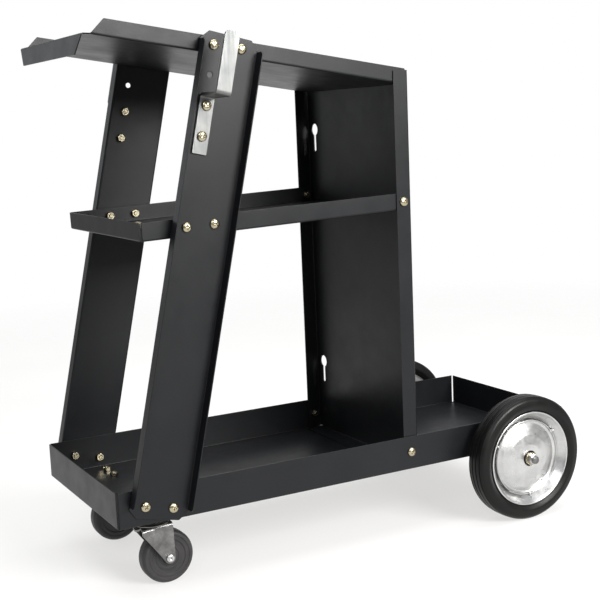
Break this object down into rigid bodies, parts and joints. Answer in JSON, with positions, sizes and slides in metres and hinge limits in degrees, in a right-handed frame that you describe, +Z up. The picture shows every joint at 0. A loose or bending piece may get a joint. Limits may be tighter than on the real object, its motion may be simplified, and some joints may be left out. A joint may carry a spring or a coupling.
{
  "type": "welding cart",
  "caption": "Folded sheet-steel welding cart with bottom tray, middle shelf, sloping top shelf, bottle bay, cable hooks, rear wheels and swivel casters.",
  "frame": {"origin": "bottom centre of the bounding box, on the floor under the middle of the cart", "axes": "+Z up; -X towards the front end with the casters and the front lip, +X towards the rear wheels; -Y is the cart's left side"},
  "size_m": [0.7086, 0.392, 0.7097],
  "materials": {
    "black_powder_coat": "satin black powder coat with a fine texture",
    "brushed_hook": "brushed bright zinc flat bar",
    "zinc_steel": "bright zinc-plated pressed steel",
    "bright_rim": "bright zinc-plated pressed sheet, polished",
    "yellow_zinc_bolt": "yellow zinc-plated steel fasteners",
    "black_tyre": "solid black rubber tyre, slightly glossy",
    "grey_rubber": "dark grey moulded rubber caster wheel"
  },
  "bodies": {
    "frame": {"bottom_tray": "black_powder_coat", "middle_shelf": "black_powder_coat", "top_shelf": "black_powder_coat", "rear_panel": "black_powder_coat", "rear_axle": "zinc_steel", "leg_left": "black_powder_coat", "cable_hook_left": "brushed_hook", "tray_bolt_left_front": "yellow_zinc_bolt", "tray_bolt_left_rear": "yellow_zinc_bolt", "middle_shelf_bolt_left_front": "yellow_zinc_bolt", "middle_shelf_bolt_left_rear": "yellow_zinc_bolt", "top_shelf_bolt_left_front": "yellow_zinc_bolt", "top_shelf_bolt_left_rear": "yellow_zinc_bolt", "hook_bolt_left_lower": "yellow_zinc_bolt", "hook_bolt_left_upper": "yellow_zinc_bolt", "panel_tray_bolt_left": "yellow_zinc_bolt", "panel_shelf_bolt_left": "yellow_zinc_bolt", "caster_bolt_left_1": "yellow_zinc_bolt", "caster_bolt_left_2": "yellow_zinc_bolt", "caster_bolt_left_3": "yellow_zinc_bolt", "caster_bolt_left_4": "yellow_zinc_bolt", "axle_washer_left": "yellow_zinc_bolt", "axle_nut_left": "zinc_steel", "caster_plate_left": "zinc_steel", "leg_right": "black_powder_coat", "cable_hook_right": "brushed_hook", "tray_bolt_right_front": "yellow_zinc_bolt", "tray_bolt_right_rear": "yellow_zinc_bolt", "middle_shelf_bolt_right_front": "yellow_zinc_bolt", "middle_shelf_bolt_right_rear": "yellow_zinc_bolt", "top_shelf_bolt_right_front": "yellow_zinc_bolt", "top_shelf_bolt_right_rear": "yellow_zinc_bolt", "hook_bolt_right_lower": "yellow_zinc_bolt", "hook_bolt_right_upper": "yellow_zinc_bolt", "panel_tray_bolt_right": "yellow_zinc_bolt", "panel_shelf_bolt_right": "yellow_zinc_bolt", "caster_bolt_right_1": "yellow_zinc_bolt", "caster_bolt_right_2": "yellow_zinc_bolt", "caster_bolt_right_3": "yellow_zinc_bolt", "caster_bolt_right_4": "yellow_zinc_bolt", "axle_washer_right": "yellow_zinc_bolt", "axle_nut_right": "zinc_steel", "caster_plate_right": "zinc_steel"},
    "rear_wheel_left": {"tyre_left": "black_tyre", "rim_left": "bright_rim", "wheel_disc_outer_left": "bright_rim", "wheel_disc_inner_left": "bright_rim", "wheel_hub_left": "zinc_steel"},
    "caster_swivel_left": {"caster_fork_left": "zinc_steel", "caster_axle_left": "zinc_steel"},
    "caster_roller_left": {"caster_wheel_left": "grey_rubber"},
    "rear_wheel_right": {"tyre_right": "black_tyre", "rim_right": "bright_rim", "wheel_disc_outer_right": "bright_rim", "wheel_disc_inner_right": "bright_rim", "wheel_hub_right": "zinc_steel"},
    "caster_swivel_right": {"caster_fork_right": "zinc_steel", "caster_axle_right": "zinc_steel"},
    "caster_roller_right": {"caster_wheel_right": "grey_rubber"}
  },
  "joints": [
    {"name": "rear_wheel_spin_left", "type": "hinge", "parent": "frame", "child": "rear_wheel_left", "pos_m": [0.25646, -0.168, 0.09], "axis": [0, 1, 0], "continuous": true},
    {"name": "caster_swivel_turn_left", "type": "hinge", "parent": "frame", "child": "caster_swivel_left", "pos_m": [-0.29174, -0.095, 0.0825], "axis": [0, 0, 1], "continuous": true},
    {"name": "caster_wheel_spin_left", "type": "hinge", "parent": "caster_swivel_left", "child": "caster_roller_left", "pos_m": [-0.27374, -0.095, 0.0352], "axis": [0, 1, 0], "continuous": true},
    {"name": "rear_wheel_spin_right", "type": "hinge", "parent": "frame", "child": "rear_wheel_right", "pos_m": [0.25646, 0.168, 0.09], "axis": [0, 1, 0], "continuous": true},
    {"name": "caster_swivel_turn_right", "type": "hinge", "parent": "frame", "child": "caster_swivel_right", "pos_m": [-0.29174, 0.095, 0.0825], "axis": [0, 0, 1], "continuous": true},
    {"name": "caster_wheel_spin_right", "type": "hinge", "parent": "caster_swivel_right", "child": "caster_roller_right", "pos_m": [-0.27374, 0.095, 0.0352], "axis": [0, 1, 0], "continuous": true}
  ]
}
